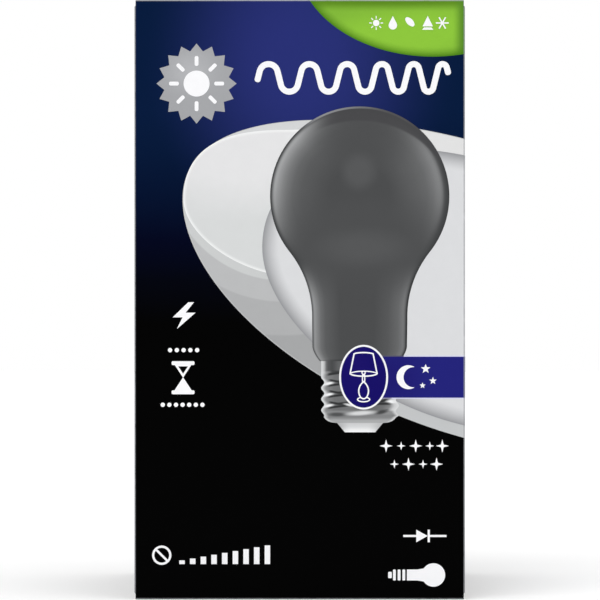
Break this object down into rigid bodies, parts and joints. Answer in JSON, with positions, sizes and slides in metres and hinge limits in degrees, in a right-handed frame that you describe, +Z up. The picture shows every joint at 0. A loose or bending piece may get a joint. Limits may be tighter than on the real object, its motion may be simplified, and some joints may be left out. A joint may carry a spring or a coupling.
{
  "type": "light bulb carton",
  "caption": "Sealed upright folding carton for a household light bulb, with glued layered end flaps, a side seam and a printed front.",
  "frame": {"origin": "middle of the carton's base, on the surface that it stands on", "axes": "+Z up through the lid, +X to the right of the printed front panel, and the front panel faces -Y"},
  "size_m": [0.0636, 0.0636, 0.1152],
  "materials": {
    "printed_board": "coated board printed in dark navy to black, semi-gloss",
    "raw_board": "cut edge of white board, matt",
    "white_ink": "white print on coated board, semi-gloss",
    "pale_ink": "pale grey print on coated board, semi-gloss",
    "grey_ink": "grey print on coated board, semi-gloss",
    "green_ink": "green print on coated board, semi-gloss",
    "blue_ink": "violet blue print on coated board, semi-gloss"
  },
  "bodies": {
    "root": {"carton": "printed_board"}
  },
  "joints": []
}
